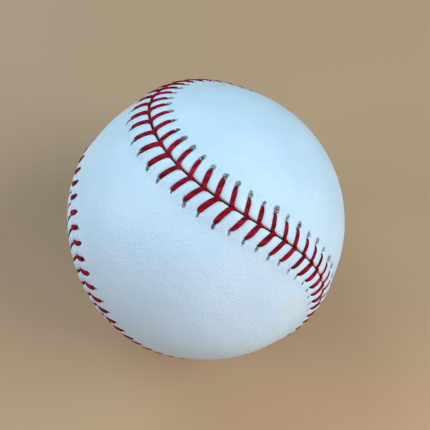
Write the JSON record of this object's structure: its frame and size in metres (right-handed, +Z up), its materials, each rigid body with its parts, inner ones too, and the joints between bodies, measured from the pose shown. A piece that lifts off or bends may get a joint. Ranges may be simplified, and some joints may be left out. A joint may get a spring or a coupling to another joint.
{
  "type": "baseball",
  "caption": "Leather-covered ball with a raised two-panel seam of red stitches over wound yarn and a rubber and cork centre.",
  "frame": {"origin": "centre of the ball", "axes": "+Z up from the table that the ball lies on, +Y away from the picture's camera, +X to the right in the picture"},
  "size_m": [0.074, 0.074, 0.0752],
  "materials": {
    "cork": "matt ground cork",
    "black_rubber": "matt",
    "red_ring": "matt",
    "red_rubber": "matt",
    "grey_wool_inner": "wound four-ply wool",
    "white_wool": "wound three-ply wool",
    "grey_wool_outer": "wound three-ply wool",
    "white_cotton": "fine wound cotton",
    "leather": "fine-grained satin cowhide",
    "thread": "waxed twisted cotton"
  },
  "bodies": {
    "root": {"cork_core": "cork", "black_shell_a": "black_rubber", "black_shell_b": "black_rubber", "joint_ring": "red_ring", "red_shell_a": "red_rubber", "red_shell_b": "red_rubber", "first_winding": "grey_wool_inner", "second_winding": "white_wool", "third_winding": "grey_wool_outer", "last_winding": "white_cotton", "cover_panel_a": "leather", "cover_panel_b": "leather", "thread_run_a": "thread", "thread_run_b": "thread"}
  },
  "joints": []
}
